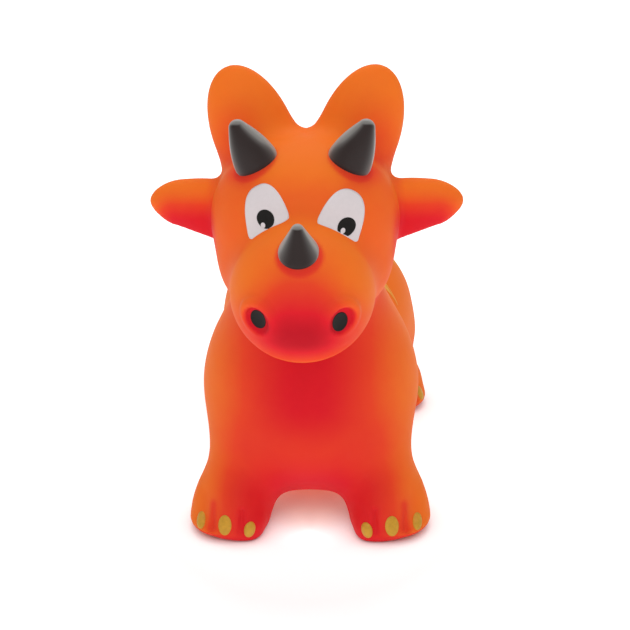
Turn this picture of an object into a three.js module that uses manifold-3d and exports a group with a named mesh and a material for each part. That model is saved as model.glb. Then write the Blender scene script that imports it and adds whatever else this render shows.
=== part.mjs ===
// Inflatable ride-on triceratops: one rotomoulded vinyl skin, drawn here zone by zone.
// Millimetres, +Z up, soles on Z = 0. The toy faces -Y, and its own left side is +X.
import * as THREE from 'three';
import { mergeVertices } from 'three/addons/utils/BufferGeometryUtils.js';
import Module from 'manifold-3d';

const wasm = await Module();
wasm.setup();

// Driving dimensions.
const WALL = 2.0;          // thickness of the moulded skin
const GAP = 0.3;           // between neighbouring zones, and under every painted patch
const PAINT = 0.6;         // thickness of a painted patch
const HORN_WALL = 3;
const VALVE_TILT = 18;     // degrees below level, on the back of the rump
const VALVE_SEAT = 113.9;  // from the rump's centre to the valve's outer face
const PLUG_STEM = 18;

const COLOUR = {
  orange: 0xee6f2f,
  warmOrange: 0xe6602f,
  redOrange: 0xdb472e,
  red: 0xcf2c2d,
  horn: 0x464140,
  white: 0xe6dada,
  black: 0x1d1c1c,
  yellow: 0xd9a23d,
  plug: 0xeeeae2,
};

// A form is a list of round volumes. Each can be grown or shrunk before it is meshed.
const ball = (centre, radii, turnY = 0, turnZ = 0) => ({ centre, radii, turnY, turnZ });
const taper = (from, to, fromR, toR, thin = 1) => ({ from, to, fromR, toR, thin });
const mirrored = (piece) => (piece.centre
  ? ball([-piece.centre[0], piece.centre[1], piece.centre[2]], piece.radii, -piece.turnY, -piece.turnZ)
  : taper([-piece.from[0], piece.from[1], piece.from[2]], [-piece.to[0], piece.to[1], piece.to[2]],
    piece.fromR, piece.toR, piece.thin));

function solid(geometry) {
  const bare = new THREE.BufferGeometry();
  bare.setAttribute('position', geometry.getAttribute('position'));
  bare.setIndex(geometry.getIndex());
  const merged = mergeVertices(bare, 1e-4);
  return new wasm.Manifold(new wasm.Mesh({
    numProp: 3,
    vertProperties: Float32Array.from(merged.getAttribute('position').array),
    triVerts: Uint32Array.from(merged.getIndex().array),
  }));
}

function facets(radius, grow) {
  const outside = radius > 60 ? 26 : 14;
  return grow < 0 ? Math.round(outside * 0.6) : outside;
}

function ballSolid({ centre, radii, turnY, turnZ }, grow) {
  const around = facets(Math.max(...radii), grow);
  const geometry = new THREE.SphereGeometry(1, around, Math.round(around * 0.55));
  geometry.rotateX(Math.PI / 2);
  geometry.scale(radii[0] + grow, radii[1] + grow, radii[2] + grow);
  geometry.rotateY(THREE.MathUtils.degToRad(turnY));
  geometry.rotateZ(THREE.MathUtils.degToRad(turnZ));
  geometry.translate(...centre);
  return solid(geometry);
}

// Points a lathe's own axis, +Y, from one place towards another.
function aim(geometry, from, to) {
  const start = new THREE.Vector3(...from);
  const direction = new THREE.Vector3(...to).sub(start).normalize();
  geometry.applyQuaternion(new THREE.Quaternion().setFromUnitVectors(new THREE.Vector3(0, 1, 0), direction));
  geometry.translate(...from);
  return geometry;
}

// A tapered rod with a dome on each end, thinned from front to back when asked.
function taperSolid({ from, to, fromR, toR, thin }, grow) {
  const length = new THREE.Vector3(...from).distanceTo(new THREE.Vector3(...to));
  const profile = [];
  const around = facets(fromR, grow);
  const domeSteps = Math.round(around / 6);
  for (let i = 0; i <= domeSteps; i += 1) {
    const angle = (Math.PI / 2) * (i / domeSteps);
    profile.push(new THREE.Vector2((fromR + grow) * Math.sin(angle), -(fromR + grow) * Math.cos(angle)));
  }
  for (let i = 0; i <= domeSteps; i += 1) {
    const angle = (Math.PI / 2) * (i / domeSteps);
    profile.push(new THREE.Vector2((toR + grow) * Math.cos(angle), length + (toR + grow) * Math.sin(angle)));
  }
  profile[0].x = 0;
  profile[profile.length - 1].x = 0;
  const rod = aim(new THREE.LatheGeometry(profile, around), from, to);
  rod.translate(0, -from[1], 0);
  rod.scale(1, thin, 1);
  rod.translate(0, from[1], 0);
  return solid(rod);
}

const pieceSolid = (piece, grow) => (piece.centre ? ballSolid(piece, grow) : taperSolid(piece, grow));
const formSolid = (form, grow) => wasm.Manifold.union(form.map((piece) => pieceSolid(piece, grow)));

// Skin zones.
const chest = [
  ball([0, -15, 141.5], [118.5, 100, 104]),
  ball([0, -28, 106], [90, 90, 60]),
];
const rump = [ball([0, 190, 145], [112.5, 115, 101])];
const saddle = [taper([0, 20, 121], [0, 150, 122], 93, 93)];
const neck = [taper([0, -12, 205], [0, -46, 290], 91, 79)];
const head = [
  ball([0, -73, 366], [90.5, 78, 72.5]),
  ball([0, -75, 338], [93.5, 82, 84]),
];
const muzzle = [ball([0, -150, 301], [74, 80, 72])];
const tail = [taper([0, 276, 168], [0, 345, 209], 44, 16)];

const frillLeft = [ball([54, -25, 427], [43.5, 24, 79.5], 20)];
const earLeft = [
  ball([111, -45, 362.5], [53.7, 18, 22.5]),
  taper([82, -45, 348], [133, -45, 358], 33, 23.5, 0.5),
];

// A foot's middle, and how far it turns outwards in degrees. Lengths on a foot are given along
// its own directions.
const FORE_FOOT = { middle: [90.5, -71.2], turn: 0 };
const HIND_FOOT = { middle: [81.5, 251], turn: 24 };
const TOE_HEIGHT = 15;
const TOES = [[-25.4, -42.5, 16.3], [0, -37, 17], [22.5, -13, 14]];
function onFoot({ middle, turn }, [dx, dy, z]) {
  const spot = new THREE.Vector2(dx, dy).rotateAround(new THREE.Vector2(), THREE.MathUtils.degToRad(turn));
  return [middle[0] + spot.x, middle[1] + spot.y, z];
}
const footForm = (foot) => [
  ball(onFoot(foot, [-15, -16, 21]), [30, 48, 44], 0, foot.turn),
  ball(onFoot(foot, [-0.5, -18.5, 11]), [41.5, 45, 13], 0, foot.turn),
  ...TOES.map(([dx, dy, r]) => ball(onFoot(foot, [dx, dy, TOE_HEIGHT]), [r, r + 5, r + 3], 0, foot.turn)),
];
const forefootLeft = footForm(FORE_FOOT);
const hindfootLeft = footForm(HIND_FOOT);
const forelegLeft = [taper([60, -46, 112], [87, -70, 40], 45, 37)];
const hindlegLeft = [taper([61, 205, 108], [84, 246, 42], 57, 38)];

const zones = [
  ['chest', chest, COLOUR.red],
  ['rump', rump, COLOUR.orange],
  ['saddle', saddle, COLOUR.orange],
  ['neck', neck, COLOUR.warmOrange],
  ['head', head, COLOUR.orange],
  ['muzzle', muzzle, COLOUR.redOrange],
  ['frill_left', frillLeft, COLOUR.orange],
  ['frill_right', frillLeft.map(mirrored), COLOUR.orange],
  ['ear_left', earLeft, COLOUR.warmOrange],
  ['ear_right', earLeft.map(mirrored), COLOUR.warmOrange],
  ['forefoot_left', forefootLeft, COLOUR.redOrange],
  ['forefoot_right', forefootLeft.map(mirrored), COLOUR.redOrange],
  ['hindfoot_left', hindfootLeft, COLOUR.warmOrange],
  ['hindfoot_right', hindfootLeft.map(mirrored), COLOUR.warmOrange],
  ['foreleg_left', forelegLeft, COLOUR.redOrange],
  ['foreleg_right', forelegLeft.map(mirrored), COLOUR.redOrange],
  ['hindleg_left', hindlegLeft, COLOUR.warmOrange],
  ['hindleg_right', hindlegLeft.map(mirrored), COLOUR.warmOrange],
  ['tail', tail, COLOUR.orange],
];

// Everything below the given height, as one big block.
function below(height) {
  const block = new THREE.BoxGeometry(2000, 2000, 1000);
  block.translate(0, 0, height - 500);
  return solid(block);
}

// The air space: every form shrunk by the wall, with the sole left as thick as the rest.
const isToe = (piece) => Boolean(piece.centre) && piece.centre[2] === TOE_HEIGHT;
const airSpace = wasm.Manifold.union(
  zones.map(([, form]) => formSolid(form.filter((piece) => !isToe(piece)), -WALL)),
).subtract(below(WALL));

// Valve: a soft bush set into the rump, and the stopper pushed into it.
const valveAngle = THREE.MathUtils.degToRad(VALVE_TILT);
const valveOut = [0, Math.cos(valveAngle), -Math.sin(valveAngle)];
const rumpCentre = rump[0].centre;
const onValve = (distance) => rumpCentre.map((value, axis) => value + valveOut[axis] * distance);
const valveLathe = (points) => {
  const profile = points.map(([radius, height]) => new THREE.Vector2(radius, height));
  return solid(aim(new THREE.LatheGeometry(profile, 24), onValve(VALVE_SEAT), onValve(VALVE_SEAT + 1)));
};
const BUSH_R = 12;
const BORE_R = 4.5;
const STEM_R = 4.2;
const HEAD_R = 8;
const BUSH_DEPTH = 14;

const valveHole = valveLathe([[0, -30], [BUSH_R + GAP, -30], [BUSH_R + GAP, 30], [0, 30]]);
const bore = valveLathe([[0, -30], [BORE_R, -30], [BORE_R, 30], [0, 30]]);
const bush = valveLathe([[0, -BUSH_DEPTH], [BUSH_R - 4, -BUSH_DEPTH], [BUSH_R - 3, -5], [BUSH_R, -4],
  [BUSH_R, 0.4], [BUSH_R - 0.8, 1.2], [0, 1.2]]).subtract(bore);
const plug = valveLathe([[0, -PLUG_STEM], [STEM_R - 1.2, -PLUG_STEM], [STEM_R, -PLUG_STEM + 3], [STEM_R, -7],
  [STEM_R - 0.8, -6], [STEM_R - 0.8, -4], [STEM_R, -3], [STEM_R, 1.5], [HEAD_R - 0.6, 1.5], [HEAD_R, 2.1],
  [HEAD_R, 3.2], [HEAD_R - 1, 3.9], [0, 4.1]]);

// Raised rims curl over the outside of each nostril. They belong to the muzzle.
const NOSTRIL = { at: [41.5, -214.5, 294.5], out: [0.57, -0.8, -0.16], halfWidth: 8.6, halfHeight: 9.8 };
const NOSTRIL_RIM = { at: [39.5, -210.8, 297.3], out: [0.48, -0.82, -0.32], radius: 16.5, tube: 5 };
const aside = (side, [x, y, z]) => [side * x, y, z];
const offset = (from, direction, distance) => from.map((value, axis) => value + direction[axis] * distance);

function nostrilRim(side, grow) {
  const ring = new THREE.TorusGeometry(NOSTRIL_RIM.radius, NOSTRIL_RIM.tube + grow, 6, 16);
  ring.rotateX(-Math.PI / 2);
  const at = aside(side, NOSTRIL_RIM.at);
  return solid(aim(ring, at, offset(at, aside(side, NOSTRIL_RIM.out), 1)));
}

const toy = new THREE.Group();
toy.name = 'hopper';
const finish = {
  skin: { roughness: 0.42, metalness: 0 },
  paint: { roughness: 0.35, metalness: 0 },
  plug: { roughness: 0.5, metalness: 0 },
};

function place(name, shape, colour, look = finish.skin) {
  const data = shape.getMesh();
  const geometry = new THREE.BufferGeometry();
  geometry.setAttribute('position', new THREE.BufferAttribute(Float32Array.from(data.vertProperties), 3));
  geometry.setIndex(new THREE.BufferAttribute(Uint32Array.from(data.triVerts), 1));
  geometry.computeVertexNormals();
  const mesh = new THREE.Mesh(geometry, new THREE.MeshStandardMaterial({ color: colour, ...look }));
  mesh.name = name;
  toy.add(mesh);
}

const underFloor = below(0);
const extras = { muzzle: [nostrilRim(1, 0), nostrilRim(-1, 0)] };
const earlier = [];
for (const [name, form, colour] of zones) {
  let shape = wasm.Manifold.union([formSolid(form, 0), ...(extras[name] ?? [])]);
  for (const taken of earlier) {
    shape = shape.subtract(taken);
  }
  shape = shape.subtract(airSpace).subtract(underFloor);
  if (name === 'rump') {
    shape = shape.subtract(valveHole);
  }
  place(name, shape, colour);
  earlier.push(formSolid(form, GAP));
}
place('valve_bush', bush, COLOUR.redOrange);
place('valve_plug', plug, COLOUR.plug, finish.plug);

// Horns: blunt cones, hollow from below, standing on the skin. Depth is the thickness from front
// to back, as a part of the width.
function hornSolid({ base, direction, height, baseR, tipR, depth }, side) {
  const from = aside(side, base);
  const along = aside(side, direction);
  const shell = (inset) => {
    const tip = tipR - inset * 0.7;
    const top = height - inset;
    const waist = [baseR * 0.68 - inset * 0.8, height * 0.5];
    const points = [[0, -14], [baseR + 1 - inset, -14], [baseR - inset, 0], waist, [tip, top - tipR],
      [tip * 0.72, top - tipR * 0.35], [tip * 0.3, top - tipR * 0.06], [0, top]];
    const profile = points.map(([radius, level]) => new THREE.Vector2(radius, level));
    const cone = new THREE.LatheGeometry(profile, 18);
    cone.scale(1, 1, depth);
    return solid(aim(cone, from, offset(from, along, 1)));
  };
  return shell(0).subtract(shell(HORN_WALL).translate(offset([0, 0, 0], along, -0.5)));
}

const BROW_HORN = {
  base: [49.6, -101, 427], direction: [0.417, -0.154, 0.895], height: 45, baseR: 24.1, tipR: 9, depth: 0.75,
};
const NOSE_HORN = {
  base: [0, -194, 357], direction: [0, -0.3, 0.954], height: 34.5, baseR: 21.5, tipR: 6.5, depth: 1,
};
const headLifted = formSolid([...head, ...frillLeft, ...frillLeft.map(mirrored)], GAP);
const muzzleLifted = formSolid(muzzle, GAP);
place('brow_horn_left', hornSolid(BROW_HORN, 1).subtract(headLifted), COLOUR.horn);
place('brow_horn_right', hornSolid(BROW_HORN, -1).subtract(headLifted), COLOUR.horn);
place('nose_horn', hornSolid(NOSE_HORN, 1).subtract(muzzleLifted), COLOUR.horn);

// A patch of paint: where a cutter passes through a thin layer that follows the skin.
function paintPatch(cutter, form, lift, thickness = PAINT) {
  return formSolid(form, lift + thickness).intersect(cutter).subtract(formSolid(form, lift));
}

// An oval rod that looks out along the given direction.
function ovalCutter(at, out, halfWidth, halfHeight) {
  const rod = new THREE.CylinderGeometry(1, 1, 24, 16);
  rod.scale(halfWidth, 1, halfHeight);
  return solid(aim(rod, at, offset(at, out, 1)));
}

// Pushes a flat outline, drawn in X and Z, through the toy from front to back.
function frontCutter(shape, fromY, depth) {
  const geometry = new THREE.ExtrudeGeometry(shape, { depth, bevelEnabled: false, curveSegments: 8 });
  geometry.rotateX(Math.PI / 2);
  geometry.translate(0, fromY + depth, 0);
  return solid(geometry);
}

// Eyes: an arch over a slanted lower edge that runs along the crease of the muzzle. The knots go
// from the low outer corner over the top to the inner corner and back, measured from the eye's
// own origin.
const EYES = [
  {
    name: 'left', side: 1, origin: [43, 404.2], pupil: [45, 369.3], glint: [41.2, 366.4],
    knots: [[12.6, -51.7], [17.6, -37.4], [28.8, -12.9], [6.7, -2.6], [-3.3, 2], [-15.5, -1],
      [-28, -27.8], [-14.7, -32.9], [-5, -36.2]],
  },
  {
    name: 'right', side: -1, origin: [38, 409], pupil: [35.5, 377.8], glint: [37.8, 371.7],
    knots: [[14.6, -53.9], [24.2, -15.2], [17.1, -7.6], [3.2, -1.5], [-3.1, 1.2], [-16.3, 0.9],
      [-26.9, -27.5], [-21.8, -34.9], [-6.7, -33.5]],
  },
];
const PUPIL = [9, 8.5];
const GLINT = [2.3, 2.4];
for (const { name, side, origin, pupil, glint, knots } of EYES) {
  const at = (index) => [side * (origin[0] + knots[index][0]), origin[1] + knots[index][1]];
  const outline = new THREE.Shape();
  outline.moveTo(...at(0));
  outline.bezierCurveTo(...at(1), ...at(2), ...at(3));
  outline.bezierCurveTo(...at(4), ...at(5), ...at(6));
  outline.bezierCurveTo(...at(7), ...at(8), ...at(0));
  const eyeCutter = frontCutter(outline, -190, 110).subtract(formSolid(muzzle, 1.2));
  place(`eye_white_${name}`, paintPatch(eyeCutter, head, GAP), COLOUR.white, finish.paint);

  const dot = (centre, [halfWidth, halfHeight]) => {
    const shape = new THREE.Shape();
    shape.absellipse(side * centre[0], centre[1], halfWidth, halfHeight, 0, Math.PI * 2);
    return frontCutter(shape, -190, 110).intersect(eyeCutter);
  };
  const pupilLift = 2 * GAP + PAINT;
  place(`pupil_${name}`, paintPatch(dot(pupil, PUPIL), head, pupilLift), COLOUR.black, finish.paint);
  const glintPaint = paintPatch(dot(glint, GLINT), head, pupilLift + PAINT + GAP);
  place(`glint_${name}`, glintPaint, COLOUR.white, finish.paint);
}

for (const [side, name] of [[1, 'nostril_left'], [-1, 'nostril_right']]) {
  const { at, out, halfWidth, halfHeight } = NOSTRIL;
  const cutter = ovalCutter(aside(side, at), aside(side, out), halfWidth, halfHeight);
  const paint = paintPatch(cutter, muzzle, GAP).subtract(nostrilRim(side, GAP));
  place(name, paint, COLOUR.black, finish.paint);
}

// Toenails: an oval on the front of every toe. Its place on the foot, then its half width and half height.
const NAILS = [[-27.1, -63.8, 17.8, 5.8, 9], [-0.2, -60.6, 21.3, 7.3, 11], [27.4, -43.4, 18.2, 5, 8.8]];
const NAIL_OUT = [0, -0.94, 0.34];
for (const [limb, foot, form] of [['fore', FORE_FOOT, forefootLeft], ['hind', HIND_FOOT, hindfootLeft]]) {
  const out = onFoot({ middle: [0, 0], turn: foot.turn }, NAIL_OUT);
  NAILS.forEach(([dx, dy, z, halfWidth, halfHeight], index) => {
    const at = onFoot(foot, [dx, dy, z]);
    for (const [side, name] of [[1, 'left'], [-1, 'right']]) {
      const cutter = ovalCutter(aside(side, at), aside(side, out), halfWidth, halfHeight);
      const skin = side > 0 ? form : form.map(mirrored);
      place(`nail_${limb}_${name}_${index + 1}`, paintPatch(cutter, skin, GAP), COLOUR.yellow, finish.paint);
    }
  });
}

// Stripes: leaf-shaped bands over the back, pointed at both flanks.
const STRIPES = [[132, 97, 24], [197, 102, 26], [252, 88, 22]];
STRIPES.forEach(([y, reach, width], index) => {
  const leaf = new THREE.Shape();
  leaf.moveTo(-reach, y);
  leaf.quadraticCurveTo(0, y + width, reach, y);
  leaf.quadraticCurveTo(0, y - width, -reach, y);
  const geometry = new THREE.ExtrudeGeometry(leaf, { depth: 120, bevelEnabled: false, curveSegments: 10 });
  geometry.translate(0, 0, 160);
  const back = [...rump, ...saddle, ...tail];
  place(`stripe_${index + 1}`, paintPatch(solid(geometry), back, GAP), COLOUR.yellow, finish.paint);
});

// The origin sits on the floor, under the middle of the toy.
const reach = new THREE.Box3().setFromObject(toy);
toy.position.y = -(reach.min.y + reach.max.y) / 2;

export default toy;
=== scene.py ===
"""Inflatable vinyl dinosaur hopper: the looks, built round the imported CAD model. Metres, +Z up, facing -Y."""

import math

import bpy
import numpy as np
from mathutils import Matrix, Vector


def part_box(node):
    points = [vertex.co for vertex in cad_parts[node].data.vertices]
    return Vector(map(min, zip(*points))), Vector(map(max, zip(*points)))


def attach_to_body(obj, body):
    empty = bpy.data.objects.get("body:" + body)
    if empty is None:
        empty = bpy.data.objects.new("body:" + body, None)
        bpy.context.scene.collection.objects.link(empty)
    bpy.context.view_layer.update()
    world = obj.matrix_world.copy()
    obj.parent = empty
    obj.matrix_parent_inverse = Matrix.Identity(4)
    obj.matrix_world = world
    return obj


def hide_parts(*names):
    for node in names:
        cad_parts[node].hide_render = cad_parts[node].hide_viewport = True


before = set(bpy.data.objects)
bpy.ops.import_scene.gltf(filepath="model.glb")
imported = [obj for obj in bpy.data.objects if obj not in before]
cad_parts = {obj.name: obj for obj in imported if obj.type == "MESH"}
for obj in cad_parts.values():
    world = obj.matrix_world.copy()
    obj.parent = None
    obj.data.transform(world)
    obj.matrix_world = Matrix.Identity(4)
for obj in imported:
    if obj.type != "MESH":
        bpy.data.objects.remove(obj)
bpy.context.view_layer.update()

# The forms below are written with Y = 0 between the shoulders. The CAD's own origin is under the
# middle of the toy, so every finished point is moved by SHIFT.
REAR_OF_RUMP = 0.3042
SHIFT = np.array([0.0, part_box("rump")[1][1] - REAR_OF_RUMP, 0.0])


# ---------------------------------------------------------------- round forms as distance fields
def turned(axis, degrees):
    """The rotation matrix about Y or Z."""
    c, s = math.cos(math.radians(degrees)), math.sin(math.radians(degrees))
    return {
        "y": np.array([[c, 0, s], [0, 1, 0], [-s, 0, c]]),
        "z": np.array([[c, -s, 0], [s, c, 0], [0, 0, 1]]),
    }[axis]


def facing(out):
    """Axes of a form whose own Y points along out, with its Z kept as upright as it can be."""
    out = np.array(out) / np.linalg.norm(out)
    across = np.cross(out, [0, 0, 1])
    across /= np.linalg.norm(across)
    return np.stack([across, out, np.cross(across, out)], axis=1)


def ellipsoid(p, centre, radii, turn=None):
    """About the distance to an ellipsoid, negative inside."""
    q = p - np.array(centre)
    if turn is not None:
        q = q @ turn
    radii = np.array(radii)
    near = np.linalg.norm(q / radii, axis=-1)
    far = np.linalg.norm(q / radii**2, axis=-1)
    return near * (near - 1) / np.maximum(far, 1e-9)


def cone(p, start, end, start_r, end_r, thin=1.0):
    """A tapered rod with round ends, thinned from front to back when asked."""
    stretch = np.array([1, 1 / thin, 1])
    start, end, q = np.array(start) * stretch, np.array(end) * stretch, p * stretch
    along = end - start
    t = np.clip((q - start) @ along / (along @ along), 0, 1)
    away = np.linalg.norm(q - start - t[..., None] * along, axis=-1)
    return (away - (start_r + (end_r - start_r) * t)) * min(thin, 1)


def ring(p, centre, normal, radius, tube):
    """A torus that looks along its normal."""
    q = p - np.array(centre)
    normal = np.array(normal) / np.linalg.norm(normal)
    height = q @ normal
    across = np.linalg.norm(q - height[..., None] * normal, axis=-1)
    return np.hypot(across - radius, height) - tube


def join(a, b, soft):
    """The two forms together, with a fillet about as wide as soft."""
    h = np.maximum(soft - np.abs(a - b), 0) / soft
    return np.minimum(a, b) - h * h * soft / 4


def cut(a, b, soft):
    """The first form without the second, with a soft edge."""
    h = np.maximum(soft - np.abs(a + b), 0) / soft
    return np.maximum(a, -b) + h * h * soft / 4


# ---------------------------------------------------------------- the toy's own forms
# Each toe's place on the foot and its radius, then the upper and lower end of each groove.
TOES = ((-0.0254, -0.0425, 0.0163), (0.0, -0.0370, 0.0170), (0.0225, -0.0130, 0.0140))
TOE_HEIGHT = 0.015
GROOVES = (((-0.0188, -0.0585, 0.038), (-0.0180, -0.0650, 0.0165)),
           ((0.0138, -0.0430, 0.037), (0.0150, -0.0560, 0.016)))
# The middle of each left foot, and how many degrees it turns outwards.
FORE_FOOT = (0.0905, -0.0712, 0)
HIND_FOOT = (0.0815, 0.2510, 24)
RUMP_CENTRE = (0, 0.190, 0.145)
BROW_HORN = (0.0496, -0.101, 0.4270)
NOSE_HORN = (-0.001, -0.194, 0.357)
NOSTRIL_AT = (0.0415, -0.2145, 0.2945)
NOSTRIL_OUT = (0.57, -0.80, -0.16)
NOSTRIL_LIP = (0.0395, -0.2108, 0.2973)
LIP_OUT = (0.48, -0.82, -0.32)


def on_foot(p, x, y, outward):
    """Points given along the directions of a foot."""
    return (p - np.array([x, y, 0])) @ turned("z", outward)


def grooves(q):
    """The distance to the two shallow lines that part the toes."""
    return np.minimum(*[cone(q, top, low, 0.0012, 0.0026) for top, low in GROOVES])


def foot_form(p, foot):
    """A boot with three toes, each a rounded tip with a low ridge that runs up over the foot."""
    q = on_foot(p, *foot)
    ankle = ellipsoid(q, (-0.015, -0.016, 0.021), (0.030, 0.048, 0.044))
    sole = ellipsoid(q, (-0.0005, -0.0185, 0.011), (0.0415, 0.045, 0.013))
    form = join(ankle, sole, 0.010)
    for dx, dy, r in TOES:
        tip = ellipsoid(q, (dx, dy, TOE_HEIGHT), (r, r + 0.005, r + 0.003))
        ridge = cone(q, (dx, dy + 0.002, 0.020), (dx * 0.58, dy + 0.024, 0.040), r * 0.85, r * 0.45)
        form = join(form, join(tip, ridge, 0.006), 0.006)
    return cut(form, grooves(q), 0.005)


def torso_form(p):
    """Chest, rump, barrel, neck, the left pair of legs and the tail."""
    chest = join(ellipsoid(p, (0, -0.015, 0.1415), (0.1185, 0.100, 0.104)),
                 ellipsoid(p, (0, -0.030, 0.1065), (0.077, 0.088, 0.052)), 0.04)
    rump = ellipsoid(p, RUMP_CENTRE, (0.1125, 0.115, 0.101))
    barrel = cone(p, (0, -0.02, 0.118), (0, 0.19, 0.120), 0.085, 0.085)
    neck = cone(p, (0, -0.01, 0.20), (0, -0.045, 0.29), 0.0865, 0.0755)
    form = join(join(join(chest, rump, 0.05), barrel, 0.05), neck, 0.05)
    foreleg = cone(p, (0.0597, -0.050, 0.11), (0.087, -0.072, 0.035), 0.032, 0.034)
    hindleg = cone(p, (0.063, 0.205, 0.10), (0.087, 0.248, 0.035), 0.050, 0.034)
    fore = join(foreleg, foot_form(p, FORE_FOOT), 0.030)
    hind = join(hindleg, foot_form(p, HIND_FOOT), 0.030)
    form = join(join(form, fore, 0.038), hind, 0.03)
    return join(form, cone(p, (0, 0.28, 0.17), (0, 0.345, 0.21), 0.04, 0.016), 0.04)


def head_form(p):
    """Head, muzzle with a nostril, cheek, frill lobe and ear of the left half."""
    form = join(ellipsoid(p, (0, -0.073, 0.365), (0.0905, 0.078, 0.0715)),
                ellipsoid(p, (0, -0.075, 0.339), (0.093, 0.082, 0.082)), 0.03)
    muzzle = ellipsoid(p, (0, -0.150, 0.301), (0.074, 0.080, 0.072))
    muzzle = join(muzzle, ring(p, NOSTRIL_LIP, LIP_OUT, 0.0165, 0.0055), 0.006)
    bowl = ellipsoid(p, NOSTRIL_AT, (0.0125, 0.0045, 0.0145), facing(NOSTRIL_OUT))
    muzzle = cut(muzzle, bowl, 0.004)
    cheek = ellipsoid(p, (0.0335, -0.088, 0.3035), (0.053, 0.062, 0.046))
    form = join(join(form, cheek, 0.02), muzzle, 0.016)
    lobe = ellipsoid(p, (0.054, -0.025, 0.427), (0.0435, 0.024, 0.0795), turned("y", 20))
    between_lobes = ellipsoid(p, (0, -0.028, 0.4165), (0.020, 0.020, 0.0165))
    form = join(join(form, lobe, 0.030), between_lobes, 0.010)
    ear = join(ellipsoid(p, (0.111, -0.045, 0.3625), (0.0537, 0.018, 0.0225)),
               cone(p, (0.080, -0.045, 0.3477), (0.133, -0.045, 0.358), 0.0332, 0.0235, 0.50), 0.008)
    return join(form, ear, 0.010)


def skin(points):
    """About the distance to the whole skin. The right half mirrors the left, and the soles are flat."""
    p = np.array(points, dtype=float)
    height = p[..., 2].copy()
    p[..., 0] = np.abs(p[..., 0])
    form = join(torso_form(p), head_form(p), 0.02)
    return cut(form, height, 0.004)


def normals_of(field, p, reach=4e-4):
    n = np.stack([field(p + reach * axis) - field(p - reach * axis) for axis in np.eye(3)], axis=-1)
    return n / np.maximum(np.linalg.norm(n, axis=-1, keepdims=True), 1e-9)


def settle(field, p, rounds=3):
    """Moves points onto the field's surface."""
    for _ in range(rounds):
        p = p - np.clip(field(p), -0.002, 0.002)[:, None] * normals_of(field, p)
    return p


# ---------------------------------------------------------------- meshing
def surface_net(values, origin, step):
    """A quad mesh of the zero level of a box of distances."""
    inside = values < 0
    cells = tuple(n - 1 for n in values.shape)
    total = np.zeros(cells + (3,))
    count = np.zeros(cells)

    def span(axis, start):
        return slice(start, start + cells[axis])

    for axis in range(3):
        others = [a for a in range(3) if a != axis]
        for i in (0, 1):
            for j in (0, 1):
                low = [None] * 3
                low[axis], low[others[0]], low[others[1]] = 0, i, j
                high = list(low)
                high[axis] = 1
                a = values[tuple(span(k, low[k]) for k in range(3))]
                b = values[tuple(span(k, high[k]) for k in range(3))]
                crossing = (a < 0) != (b < 0)
                t = np.where(crossing, a / np.where(crossing, a - b, 1), 0)
                for k in range(3):
                    total[..., k] += crossing * (t if k == axis else low[k])
                count += crossing
    used = count > 0
    index = np.full(cells, -1)
    index[used] = np.arange(used.sum())
    corner = np.argwhere(used)
    points = origin + step * (corner + total[used] / count[used][:, None])
    quads = []
    for axis in range(3):
        u, v = (axis + 1) % 3, (axis + 2) % 3
        take = [slice(1, n - 1) for n in values.shape]
        take[axis] = slice(0, values.shape[axis] - 1)
        after = list(take)
        after[axis] = slice(1, values.shape[axis])
        a, b = inside[tuple(take)], inside[tuple(after)]
        at = np.argwhere(a != b)
        at[:, u] += 1
        at[:, v] += 1
        leaving = a[a != b]
        around = []
        for du, dv in ((-1, -1), (0, -1), (0, 0), (-1, 0)):
            cell = at.copy()
            cell[:, u] += du
            cell[:, v] += dv
            around.append(index[cell[:, 0], cell[:, 1], cell[:, 2]])
        around = np.stack(around, axis=1)
        around[~leaving] = around[~leaving][:, ::-1]
        quads.append(around)
    return points, np.concatenate(quads)


def make_object(name, points, faces, normals=None):
    mesh = bpy.data.meshes.new(name)
    mesh.from_pydata((np.asarray(points) + SHIFT).tolist(), [], [list(map(int, f)) for f in faces])
    mesh.shade_smooth()
    if normals is not None:
        mesh.normals_split_custom_set_from_vertices(np.asarray(normals).tolist())
    obj = bpy.data.objects.new(name, mesh)
    bpy.context.scene.collection.objects.link(obj)
    return obj


def attach(obj, material, slot_name, body, *nodes):
    """Gives a piece its material, ties it to its body and hides the CAD nodes that it stands for."""
    obj.data.materials.append(material)
    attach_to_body(obj, body)
    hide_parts(*nodes)


def rise(low, high, value):
    """Goes smoothly from 0 at low to 1 at high."""
    t = np.clip((value - low) / (high - low), 0, 1)
    return t * t * (3 - 2 * t)


# The strongest red of each layer, partly airbrush and partly painted shade, and the most that the body's layers
# come to together.
SPRAY_AND_SHADE = {"chest": 0.92, "under": 0.6, "face": 0.19, "ear": 0.92, "lobe": 0.36, "inner_leg": 0.6, "toes": 0.1,
        "creases": 0.34}
BODY_SPRAY_AND_SHADE = 0.88
# Rings of painted shade in the nostril bowls and just below the horns' feet: centre, how far below it, radius
# and strength.
SHADE_RINGS = ((NOSTRIL_AT, 0, 0.0125, 0.8), (BROW_HORN, 0.005, 0.0230, 0.4), (NOSE_HORN, 0.006, 0.0225, 0.5))


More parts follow.
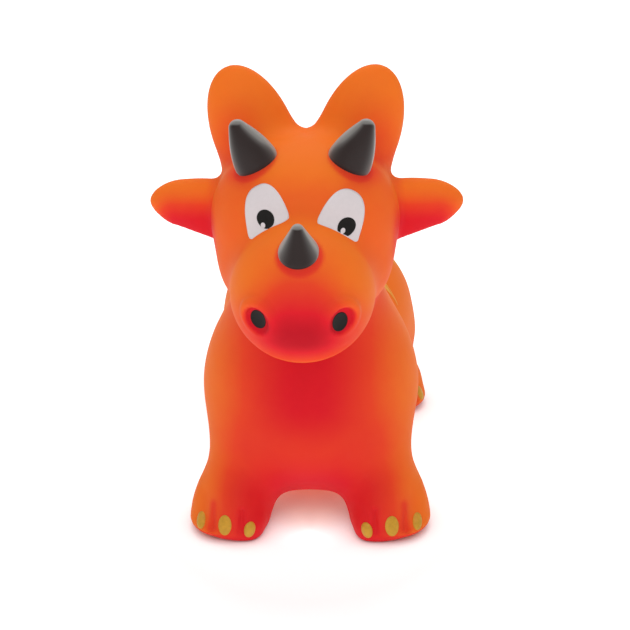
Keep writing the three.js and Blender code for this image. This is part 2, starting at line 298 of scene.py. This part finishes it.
def red_spray_and_shade(p, n):
    """How much red is painted on points with normals n: partly an airbrushed red, partly painted shade on faces
    turned forward or down, between the legs, along the toe grooves, in the nostril bowls and just below the
    horns.
    """
    x, y, z = np.abs(p[:, 0]), p[:, 1], p[:, 2]
    # Faces turned forward take more red, as painted shade.
    front = rise(-0.2, 0.25, -n[:, 1])
    on_muzzle = rise(-0.150, -0.180, y) * rise(0.20, 0.22, z)
    high = rise(0.10, 0.16, z)
    across = high * rise(0.125, 0.010, x) + (1 - high) * 0.64 * rise(0.125, 0.060, x)
    off_muzzle = 1 - on_muzzle
    chest = SPRAY_AND_SHADE["chest"] * across * front * rise(0.31, 0.26, z) * rise(0.04, -0.04, y) * off_muzzle
    # Painted shade on faces turned towards the floor.
    downward = rise(0.1, -0.75, n[:, 2]) * rise(-1.0, -0.8, n[:, 2])
    under = SPRAY_AND_SHADE["under"] * downward * rise(0.30, 0.20, z) * off_muzzle
    eye_level = rise(0.425, 0.395, z) * rise(0.285, 0.30, z)
    face = SPRAY_AND_SHADE["face"] * eye_level * rise(-0.165, -0.150, y) * rise(0.105, 0.095, x) * front
    ear_level = rise(0.384, 0.342, z) * rise(0.285, 0.31, z)
    ear = SPRAY_AND_SHADE["ear"] * rise(0.088, 0.100, x) * rise(0.172, 0.138, x) * ear_level * front
    lobe_level = rise(0.49, 0.42, z) * rise(0.395, 0.41, z)
    lobe = SPRAY_AND_SHADE["lobe"] * lobe_level * rise(0.040, 0.0, np.abs(x - 0.072)) * front
    inner_leg = SPRAY_AND_SHADE["inner_leg"] * rise(0.115, 0.050, x) * rise(0.090, 0.055, z)
    toes = SPRAY_AND_SHADE["toes"] * rise(0.060, 0.030, z) * rise(0.132, 0.112, x) * front
    mirror_p = np.stack([x, y, z], axis=1)
    # Painted shade along the grooves between the toes.
    to_grooves = [grooves(on_foot(mirror_p, *foot)) for foot in (FORE_FOOT, HIND_FOOT)]
    creases = SPRAY_AND_SHADE["creases"] * sum(rise(0.0080, -0.0010, away) for away in to_grooves)
    layers = [chest, under, face, ear, lobe, inner_leg, toes, creases]
    # Painted shade in the nostril bowls and just below the horns.
    for centre, drop, reach, strength in SHADE_RINGS:
        away = np.linalg.norm(mirror_p - np.array(centre) + [0, 0, drop], axis=1)
        layers.append(strength * rise(reach + 0.005, reach, away))
    clear = np.ones_like(x)
    for layer in layers:
        clear = clear * (1 - layer)
    # The front of the muzzle takes one layer of red more than the rest, partly airbrush and partly painted
    # shade.
    reach = 0.056 + 0.036 * rise(0.345, 0.280, z)
    muzzle = on_muzzle * rise(reach, 0.1 * reach, x) * rise(0.375, 0.282, z) * rise(0.225, 0.275, z)
    return 1 - (1 - BODY_SPRAY_AND_SHADE * (1 - clear)) * (1 - muzzle)


# ---------------------------------------------------------------- materials
def shader(name, colour, roughness, **sockets):
    """A plain Principled material. Sockets are named with underscores for spaces."""
    material = bpy.data.materials.new(name)
    material.use_nodes = True
    bsdf = material.node_tree.nodes["Principled BSDF"]
    bsdf.inputs["Base Color"].default_value = (*colour, 1)
    bsdf.inputs["Roughness"].default_value = roughness
    for socket, value in sockets.items():
        bsdf.inputs[socket.replace("_", " ")].default_value = value
    return material, material.node_tree.nodes, material.node_tree.links, bsdf


def noise(nodes, links, scale, detail=2.0, roughness=0.5):
    place = nodes.new("ShaderNodeTexCoord")
    texture = nodes.new("ShaderNodeTexNoise")
    texture.inputs["Scale"].default_value = scale
    texture.inputs["Detail"].default_value = detail
    texture.inputs["Roughness"].default_value = roughness
    links.new(place.outputs["Object"], texture.inputs["Vector"])
    return texture.outputs["Fac"]


def remap(nodes, links, source, low, high, start=0.0, end=1.0):
    """Turns values from start to end into values from low to high."""
    node = nodes.new("ShaderNodeMapRange")
    links.new(source, node.inputs["Value"])
    node.inputs["From Min"].default_value = start
    node.inputs["From Max"].default_value = end
    node.inputs["To Min"].default_value = low
    node.inputs["To Max"].default_value = high
    return node.outputs["Result"]


def ramp(nodes, links, source, stops):
    node = nodes.new("ShaderNodeValToRGB")
    links.new(source, node.inputs["Fac"])
    while len(node.color_ramp.elements) < len(stops):
        node.color_ramp.elements.new(0.5)
    for element, (position, colour) in zip(node.color_ramp.elements, stops):
        element.position = position
        element.color = (*colour, 1)
    return node.outputs["Color"]


def bump(nodes, links, bsdf, source, distance, strength=1.0):
    node = nodes.new("ShaderNodeBump")
    node.inputs["Distance"].default_value = distance
    node.inputs["Strength"].default_value = strength
    links.new(source, node.inputs["Height"])
    links.new(node.outputs["Normal"], bsdf.inputs["Normal"])


def vinyl():
    """Orange vinyl whose colour deepens to red with the red stored on the skin, which is partly airbrush and
    partly painted shade.
    """
    material, nodes, links, bsdf = shader("orange_vinyl", (0.86, 0.16, 0.02), 0.48, Subsurface_Weight=0.12,
                                          Subsurface_Scale=0.01, Specular_IOR_Level=0.07)
    spray_and_shade = nodes.new("ShaderNodeAttribute")
    spray_and_shade.attribute_name = "spray_and_shade"
    speckle = remap(nodes, links, noise(nodes, links, 55, 3, 0.6), -0.04, 0.04)
    mixed = nodes.new("ShaderNodeMath")
    links.new(spray_and_shade.outputs["Fac"], mixed.inputs[0])
    links.new(speckle, mixed.inputs[1])
    # From orange vinyl to a deep red, which on the skin is partly airbrush and partly painted shade.
    colour = ramp(nodes, links, mixed.outputs[0], [
        (0.0, (0.90, 0.182, 0.018)), (0.4, (0.82, 0.060, 0.020)), (0.8, (0.72, 0.012, 0.022)),
        (1.0, (0.50, 0.006, 0.016))])
    links.new(colour, bsdf.inputs["Base Color"])
    links.new(remap(nodes, links, noise(nodes, links, 140, 4, 0.6), 0.50, 0.62), bsdf.inputs["Roughness"])
    bump(nodes, links, bsdf, noise(nodes, links, 700, 2, 0.5), 0.00012, 0.35)
    bsdf.inputs["Subsurface Radius"].default_value = (1.0, 0.25, 0.1)
    return material


def paint(name, colour, roughness, tint=0.06, grain=0.00008, **sockets):
    """A sprayed coat: faint mottling, uneven gloss and the vinyl's grain showing through."""
    material, nodes, links, bsdf = shader(name, colour, roughness, **sockets)
    dark = tuple(c * (1 - tint) for c in colour)
    light = tuple(min(1, c * (1 + tint)) for c in colour)
    mottling = ramp(nodes, links, noise(nodes, links, 220, 3, 0.6), [(0.3, dark), (0.7, light)])
    gloss = remap(nodes, links, noise(nodes, links, 160, 2), roughness - 0.05, roughness + 0.07)
    links.new(mottling, bsdf.inputs["Base Color"])
    links.new(gloss, bsdf.inputs["Roughness"])
    bump(nodes, links, bsdf, noise(nodes, links, 900, 2), grain, 0.4)
    return material


def paint_light_on_horns(material):
    """The horns' dark grey is painted lighter where light would fall: darkest where they face forward, lighter
    towards their sides, and lighter on their upper sides away from the foot. This is painted light.
    """
    nodes, links = material.node_tree.nodes, material.node_tree.links
    painted_light = nodes.new("ShaderNodeAttribute")
    painted_light.attribute_name = "painted_light"
    colour = ramp(nodes, links, painted_light.outputs["Fac"], [
        (0.0, (0.018, 0.009, 0.008)), (0.5, (0.115, 0.107, 0.102)), (1.0, (0.35, 0.34, 0.32))])
    links.new(colour, nodes["Principled BSDF"].inputs["Base Color"])


SKIN = vinyl()
HORN_GREY = paint("horn_grey", (0.03, 0.02, 0.02), 0.40, 0.15, 0.00012, Specular_IOR_Level=0.28,
                  Sheen_Weight=0.05, Sheen_Roughness=0.3)
paint_light_on_horns(HORN_GREY)
EYE_WHITE = paint("eye_white", (0.72, 0.65, 0.66), 0.45, 0.02)
BLACK = paint("satin_black", (0.008, 0.007, 0.006), 0.5, 0.2, Specular_IOR_Level=0.2)
NAIL_YELLOW = paint("nail_yellow", (0.60, 0.32, 0.025), 0.42, 0.1, Specular_IOR_Level=0.3)
STRIPE_YELLOW = paint("stripe_yellow", (0.90, 0.46, 0.06), 0.42, 0.06)
STOPPER = paint("stopper_white", (0.78, 0.76, 0.72), 0.45, 0.02)
BUSH = paint("bush_vinyl", (0.72, 0.10, 0.03), 0.45, 0.06)


# ---------------------------------------------------------------- the skin
STEP = 0.00295
GRID_LOW = np.array([-0.175, -0.245, -0.008])
GRID_HIGH = np.array([0.175, 0.375, 0.52])
SLABS = 16
counts = np.ceil((GRID_HIGH - GRID_LOW) / STEP).astype(int)
levels = [GRID_LOW[axis] + STEP * np.arange(counts[axis]) for axis in range(3)]
grid = np.stack(np.meshgrid(*levels, indexing="ij"), axis=-1)
distances = np.concatenate([skin(slab) for slab in np.array_split(grid, SLABS)])
points, quads = surface_net(distances, GRID_LOW, STEP)
points = settle(skin, points)
normals = normals_of(skin, points)
toy_skin = make_object("vinyl_skin", points, quads, normals)
# The red on the skin's points: partly airbrush, partly painted shade.
spray_and_shade = toy_skin.data.attributes.new("spray_and_shade", "FLOAT", "POINT")
spray_and_shade.data.foreach_set("value", red_spray_and_shade(points, normals).astype(np.float32))
PAIRED = ("frill", "ear", "forefoot", "hindfoot", "foreleg", "hindleg")
attach(toy_skin, SKIN, "skin_orange", "toy", "chest", "rump", "saddle", "neck", "head", "muzzle",
       *[f"{part}_{side}" for part in PAIRED for side in ("left", "right")], "tail")


# ---------------------------------------------------------------- horns
def frame_of(direction):
    """A unit direction and two more across it."""
    out = np.array(direction, dtype=float)
    out /= np.linalg.norm(out)
    side = np.cross(out, [0, 1, 0] if abs(out[1]) < 0.9 else [1, 0, 0])
    side /= np.linalg.norm(side)
    return out, side, np.cross(out, side)


def cast(start, direction, reach=0.2):
    """Walks points along a direction until they meet the skin, at most for the reach."""
    direction = np.array(direction) / np.linalg.norm(direction)
    travelled = np.zeros(len(start))
    steps, stride = 70, 0.8
    for _ in range(steps):
        travelled += stride * skin(start + travelled[:, None] * direction)
    return start + np.clip(travelled, 0, reach)[:, None] * direction


def horn(name, base, direction, height, base_r, tip_r, swell, depth):
    """A round-tipped cone whose foot follows the skin. Depth is its thickness over its width."""
    out, side, other = frame_of(direction)
    base = np.array(base)
    turns = 96
    tuck = 0.0013      # how much the foot is drawn in, so that a fine crease runs round it
    sunk = 0.0008      # how far the foot goes into the skin
    angle = np.linspace(0, 2 * math.pi, turns, endpoint=False)
    spoke = np.cos(angle)[:, None] * side + depth * np.sin(angle)[:, None] * other
    foot = cast(base + spoke * (base_r - 0.0012) + out * 0.03, -out)
    foot_level = (foot - base) @ out
    # The side meets the round tip smoothly, at the angle where both have one slope.
    tip_level = height - tip_r
    slope = 0.0
    for _ in range(20):
        slope = math.asin((base_r * math.cos(slope) - tip_r) / tip_level)
    top_level, top_r = tip_level + tip_r * math.sin(slope), tip_r * math.cos(slope)
    rows = [foot - out * sunk]
    sides, domes = 22, 12
    for i in range(sides + 1):
        t = i / sides
        radius = base_r + (top_r - base_r) * t - tuck * math.exp(-t * 24) + swell * math.sin(math.pi * t)
        level = foot_level * (1 - t) + top_level * t
        rows.append(base + spoke * radius + level[:, None] * out)
    for i in range(1, domes):
        bend = slope + (math.pi / 2 - slope) * i / domes
        rows.append(base + spoke * tip_r * math.cos(bend) + out * (tip_level + tip_r * math.sin(bend)))
    points = np.concatenate(rows + [[base + out * height]])
    faces = []
    for row in range(len(rows) - 1):
        for i in range(turns):
            j = (i + 1) % turns
            faces.append((row * turns + i, row * turns + j, (row + 1) * turns + j, (row + 1) * turns + i))
    last = (len(rows) - 1) * turns
    faces += [(last + i, last + (i + 1) % turns, len(points) - 1) for i in range(turns)]
    obj = make_object(name, points, faces)
    normals = np.empty(len(points) * 3)
    obj.data.vertices.foreach_get("normal", normals)
    normals = normals.reshape(-1, 3)
    # Painted light on the horns: lighter as the surface turns from the front, and on upward faces above the
    # foot.
    rim = 1.1 * rise(-0.98, -0.10, normals[:, 1])
    upper = 0.6 * rise(0.28, 0.50, normals[:, 2]) * rise(0, 0.4 * height, (points - base) @ out)
    painted_light = 1 - (1 - np.clip(rim, 0, 1)) * (1 - upper)
    layer = obj.data.attributes.new("painted_light", "FLOAT", "POINT")
    layer.data.foreach_set("value", painted_light.astype(np.float32))
    return obj


BROW_SIZE = {"height": 0.0450, "base_r": 0.0241, "tip_r": 0.0090, "swell": 0.0024, "depth": 0.75}
NOSE_SIZE = {"height": 0.0345, "base_r": 0.0213, "tip_r": 0.0066, "swell": -0.0002, "depth": 1.0}
SIDES = ((1, "left"), (-1, "right"))
for side, name in SIDES:
    base = (side * BROW_HORN[0], *BROW_HORN[1:])
    brow_horn = horn(f"horn_brow_{name}", base, (side * 0.417, -0.154, 0.895), **BROW_SIZE)
    attach(brow_horn, HORN_GREY, "horn_paint", "toy", f"brow_horn_{name}")
nose_horn = horn("horn_nose", NOSE_HORN, (0, -0.30, 0.954), **NOSE_SIZE)
attach(nose_horn, HORN_GREY, "horn_paint", "toy", "nose_horn")


# ---------------------------------------------------------------- painted patches
def patch(name, centre, outline, direction, up, lift, crown=0.0, rings=8):
    """A coat of paint in a flat outline, cast onto the skin along a direction."""
    direction = np.array(direction, dtype=float) / np.linalg.norm(direction)
    across = np.cross(direction, up)
    across /= np.linalg.norm(across)
    upward = np.cross(across, direction)
    outline = np.array(outline)
    middle = outline.mean(axis=0)
    flat, inward = [middle[None]], [np.zeros(1)]
    for i in range(1, rings + 1):
        flat.append(middle + (outline - middle) * (i / rings))
        inward.append(np.full(len(outline), i / rings))
    flat, inward = np.concatenate(flat), np.concatenate(inward)
    start = np.array(centre) + flat[:, :1] * across + flat[:, 1:] * upward - 0.06 * direction
    on_skin = settle(skin, cast(start, direction))
    n = normals_of(skin, on_skin, 8e-4)
    top = on_skin + n * (lift + crown * (1 - inward**2))[:, None]
    count = len(outline)
    rim = on_skin[-count:] - n[-count:] * 0.0003
    points = np.concatenate([top, rim])
    faces = [(0, 1 + i, 1 + (i + 1) % count) for i in range(count)]
    for row in range(rings):
        first = 1 + row * count
        for i in range(count):
            j = (i + 1) % count
            faces.append((first + i, first + count + i, first + count + j, first + j))
    return make_object(name, points, faces)


def bezier(points, steps):
    """A cubic curve through two ends and two handles, without its last point."""
    a, b, c, d = (np.array(p) for p in points)
    t = np.linspace(0, 1, steps, endpoint=False)[:, None]
    return a * (1 - t) ** 3 + 3 * b * t * (1 - t) ** 2 + 3 * c * t**2 * (1 - t) + d * t**3


def round_corners(outline, reach=2):
    """Averages each point of a closed outline with its neighbours."""
    steps = range(-reach, reach + 1)
    return sum(np.roll(outline, step, axis=0) for step in steps) / len(steps)


def oval(half_width, half_height, count=48, lean=0.0):
    """An upright ellipse, leaning by an angle in radians."""
    angle = np.linspace(0, 2 * math.pi, count, endpoint=False)
    flat = np.stack([half_width * np.cos(angle), half_height * np.sin(angle)], axis=1)
    c, s = math.cos(lean), math.sin(lean)
    return flat @ np.array([[c, s], [-s, c]])


INWARD = (0, 1, 0)
UP = (0, 0, 1)
BEFORE_FACE = -0.16    # the plane in front of the face that the eyes are cast from
COAT_LIFT = 0.0003     # how far one coat of paint lies above what is under it
PUPIL = (0.0090, 0.0085)
GLINT = (0.0023, 0.0024)
NOSTRIL = (0.0091, 0.0103)
# For each eye: its origin, the knots of its outline, the centre of its pupil and how far that
# reaches towards the low edge, and the centres of its glint and of the nostril on its side. The
# outline runs from its low outer corner over the top to the inner corner and back.
EYES = (
    ("left", 1, (0.0430, 0.4042),
     ((0.0126, -0.0517), (0.0176, -0.0374), (0.0288, -0.0129), (0.0067, -0.0026), (-0.0033, 0.0020),
      (-0.0155, -0.0010), (-0.0280, -0.0278), (-0.0147, -0.0329), (-0.0050, -0.0362)),
     (0.0450, 0.3693), 0.0064, (0.0412, 0.3664), (0.0413, 0.2916)),
    ("right", -1, (0.0380, 0.4090),
     ((0.0146, -0.0539), (0.0242, -0.0152), (0.0171, -0.0076), (0.0032, -0.0015), (-0.0031, 0.0012),
      (-0.0163, 0.0009), (-0.0269, -0.0275), (-0.0218, -0.0349), (-0.0067, -0.0335)),
     (0.0355, 0.3778), 0.0084, (0.0378, 0.3717), (0.0436, 0.2937)))


def on_face(side, spot):
    return (side * spot[0], BEFORE_FACE, spot[1])


def eye_outline(knots):
    over_top = bezier(knots[0:4], 40)
    inner_side = bezier(knots[3:7], 32)
    low_side = bezier([knots[6], knots[7], knots[8], knots[0]], 36)
    return round_corners(np.concatenate([over_top, inner_side, low_side]))


def pupil_outline(side, reach):
    """An oval that is cut flat where it meets the eye's low edge."""
    low_edge = np.array([-0.53 * side, -0.85])
    outline = oval(*PUPIL)
    beyond = np.maximum(outline @ low_edge - reach, 0)
    return outline - beyond[:, None] * low_edge


for name, side, origin, knots, pupil, reach, glint, nostril in EYES:
    white = patch(f"painted_eye_{name}", on_face(side, origin), eye_outline(np.array(knots) * [side, 1]),
                  INWARD, UP, COAT_LIFT, rings=14)
    attach(white, EYE_WHITE, "white_paint", "toy", f"eye_white_{name}")
    black = patch(f"painted_pupil_{name}", on_face(side, pupil), pupil_outline(side, reach),
                  INWARD, UP, 2 * COAT_LIFT)
    attach(black, BLACK, "black_paint", "toy", f"pupil_{name}")
    shine = patch(f"painted_glint_{name}", on_face(side, glint), oval(*GLINT, 24), INWARD, UP,
                  3 * COAT_LIFT, rings=3)
    attach(shine, EYE_WHITE, "white_paint", "toy", f"glint_{name}")
    nostril_in = (-side * NOSTRIL_OUT[0], -NOSTRIL_OUT[1], -NOSTRIL_OUT[2])
    centre = (side * nostril[0], NOSTRIL_AT[1], nostril[1])
    opening = oval(*NOSTRIL, lean=0.06 * side)
    hole = patch(f"painted_nostril_{name}", centre, opening, nostril_in, UP, COAT_LIFT)
    attach(hole, BLACK, "black_paint", "toy", f"nostril_{name}")

NAIL_CROWN = 0.0014    # how much a nail bulges in its middle
# Place on the foot, half width, half height and lean of each nail, from the inner toe outwards.
NAILS = ((-0.0271, -0.0638, 0.0178, 0.0058, 0.0090, 0.26), (-0.0002, -0.0606, 0.0213, 0.0073, 0.0110, 0.05),
         (0.0274, -0.0434, 0.0182, 0.0050, 0.0088, 0.05))
for limb, (x, y, outward) in (("fore", FORE_FOOT), ("hind", HIND_FOOT)):
    spin = turned("z", outward)
    for number, (dx, dy, z, half_width, half_height, lean) in enumerate(NAILS, 1):
        toe = np.array([x, y, 0]) + spin @ np.array([dx, dy, z])
        inward = spin @ np.array([0, 0.94, -0.34])
        for side, name in SIDES:
            mirror = np.array([side, 1, 1])
            outline = oval(half_width, half_height, 36, lean * side)
            nail = patch(f"painted_nail_{limb}_{name}_{number}", toe * mirror, outline, inward * mirror, UP,
                         COAT_LIFT, NAIL_CROWN, rings=6)
            attach(nail, NAIL_YELLOW, "yellow_paint", "toy", f"nail_{limb}_{name}_{number}")

# Each stripe's place along the back, its reach to either side and its half width.
STRIPES = ((0.132, 0.0970, 0.012), (0.197, 0.1025, 0.013), (0.252, 0.0880, 0.011))
for number, (y, reach, width) in enumerate(STRIPES, 1):
    across = np.linspace(-1, 1, 60)
    leaf = np.concatenate([
        np.stack([across * reach, width * (1 - across**2)], axis=1),
        np.stack([-across[1:-1] * reach, -width * (1 - across[1:-1] ** 2)], axis=1),
    ])
    band = patch(f"painted_stripe_{number}", (0, y, 0.26), leaf, (0, 0, -1), (0, 1, 0), COAT_LIFT, rings=10)
    attach(band, STRIPE_YELLOW, "yellow_paint", "toy", f"stripe_{number}")


# ---------------------------------------------------------------- valve and stopper
VALVE_TILT = math.radians(18)
VALVE_OUT = np.array([0, math.cos(VALVE_TILT), -math.sin(VALVE_TILT)])
VALVE_AT = np.array(RUMP_CENTRE) + 0.1139 * VALVE_OUT
BORE_R = 0.0046
BUSH_R = 0.0119
BUSH_DEPTH = 0.014
STEM_R = 0.0036
STEM_LENGTH = 0.018
RIB_R = 0.0042
PLUG_R = 0.008


def lathe(name, profile, turns=64):
    """A turned part on the valve's axis. The profile holds radius and height above the skin."""
    out, side, other = frame_of(VALVE_OUT)
    angle = np.linspace(0, 2 * math.pi, turns, endpoint=False)
    spoke = np.cos(angle)[:, None] * side + np.sin(angle)[:, None] * other
    points = np.concatenate([VALVE_AT + spoke * radius + out * level for radius, level in profile])
    faces = []
    for row in range(len(profile) - 1):
        near, far = row * turns, (row + 1) * turns
        faces += [(near + i, near + (i + 1) % turns, far + (i + 1) % turns, far + i) for i in range(turns)]
    obj = make_object(name, points, faces)
    bevel = obj.modifiers.new("edges", "BEVEL")
    bevel.width = 0.0003
    bevel.segments = 2
    bevel.limit_method = "ANGLE"
    return obj


bush = lathe("moulded_valve_bush", [
    (BORE_R, -BUSH_DEPTH), (0.008, -BUSH_DEPTH), (0.009, -0.005), (BUSH_R, -0.004), (BUSH_R, 0.0004),
    (0.0112, 0.0012), (0.0056, 0.0013), (BORE_R, 0.0008), (BORE_R, -BUSH_DEPTH)])
attach(bush, BUSH, "skin_red_orange", "toy", "valve_bush")
ribs = []
for level in (-0.015, -0.012, -0.009):
    ribs += [(STEM_R, level), (RIB_R, level + 0.0008), (RIB_R, level + 0.0014), (STEM_R, level + 0.0018)]
stem_end = [(0.0001, -STEM_LENGTH), (0.003, -STEM_LENGTH), (STEM_R, -0.0165)]
neck = [(STEM_R, -0.003), (0.0041, -0.002), (0.0041, 0.0015)]
head = [(0.0074, 0.0016), (PLUG_R, 0.0021), (PLUG_R, 0.0032), (0.0072, 0.0038), (0.0055, 0.0040),
        (0.0050, 0.0034), (0.0001, 0.0033)]
plug = lathe("white_stopper", stem_end + ribs + neck + head)
attach(plug, STOPPER, "stopper", "stopper", "valve_plug")


# ---------------------------------------------------------------- studio
def area_light(name, place, aim, size, power):
    light = bpy.data.lights.new(name, "AREA")
    light.shape = "RECTANGLE"
    light.size, light.size_y = size
    light.energy = power
    obj = bpy.data.objects.new(name, light)
    obj.location = place
    obj.rotation_euler = (Vector(aim) - Vector(place)).to_track_quat("-Z", "Y").to_euler()
    bpy.context.scene.collection.objects.link(obj)


bpy.ops.mesh.primitive_plane_add(size=30)
floor = bpy.context.object
floor.name = "studio_floor"
floor_material, nodes, links, floor_bsdf = shader("pale_floor", (0.80, 0.80, 0.80), 0.55,
                                                  Specular_IOR_Level=0.1)
# The floor glows a little, so that it is as white as a lit studio sweep. The glow is weak and warm
# under the toy, a painted shadow with a painted red bounce, and weak where a foot meets the floor, a painted
# contact shadow.
place = nodes.new("ShaderNodeTexCoord")
narrow = nodes.new("ShaderNodeVectorMath")
narrow.operation = "MULTIPLY"
narrow.inputs[1].default_value = (1.6, 1, 1)
away = nodes.new("ShaderNodeVectorMath")
away.operation = "LENGTH"
links.new(place.outputs["Object"], narrow.inputs[0])
links.new(narrow.outputs["Vector"], away.inputs[0])
glow = ramp(nodes, links, away.outputs["Value"], [
    (0.08, (1.00, 0.42, 0.24)), (0.126, (1.00, 0.80, 0.62)), (0.17, (0.80, 0.88, 0.86)),
    (0.21, (0.64, 0.64, 0.64)), (0.32, (0.43, 0.43, 0.43)), (1.0, (0.68, 0.68, 0.68))])
links.new(glow, floor_bsdf.inputs["Emission Color"])
contact = nodes.new("ShaderNodeAmbientOcclusion")
contact.inputs["Distance"].default_value = 0.05
openness = remap(nodes, links, contact.outputs["AO"], 0.0, 1.0, 0.10, 0.90)
links.new(openness, floor_bsdf.inputs["Emission Strength"])
floor.data.materials.append(floor_material)

world = bpy.data.worlds.new("studio")
world.use_nodes = True
world.node_tree.nodes["Background"].inputs["Color"].default_value = (1, 1, 1, 1)
world.node_tree.nodes["Background"].inputs["Strength"].default_value = 0.46
bpy.context.scene.world = world

area_light("top_softbox", (0, 0.9, 2.8), (0, 0.9, 0), (5.0, 5.5), 16)
area_light("hair_softbox", (0, 0.8, 2.2), (0, 0, 0.3), (2.0, 1.6), 17)
area_light("front_softbox", (0, -2.2, 1.9), (0, 0, 0.25), (2.4, 1.6), 18)

bpy.context.scene.view_settings.view_transform = "Standard"

# ---------------------------------------------------------------- camera, at the photograph's angle
AZIMUTH, ELEVATION, ROLL = math.radians(2.7), math.radians(22.0), math.radians(-0.98)
DISTANCE = 2.0
LENS = 103.143         # mm, for a picture 36 mm wide
target = Vector((0.0050, float(SHIFT[1]), 0.2135))
outwards = math.cos(ELEVATION)
back = Vector((math.sin(AZIMUTH) * outwards, -math.cos(AZIMUTH) * outwards, math.sin(ELEVATION)))
camera = bpy.data.objects.new("camera", bpy.data.cameras.new("camera"))
camera.data.lens = LENS
camera.data.sensor_width = 36
camera.location = target + DISTANCE * back
look = back.to_track_quat("Z", "Y").to_matrix()
camera.rotation_euler = look.to_euler()
camera.rotation_euler.rotate_axis("Z", ROLL)
bpy.context.scene.collection.objects.link(camera)
bpy.context.scene.camera = camera
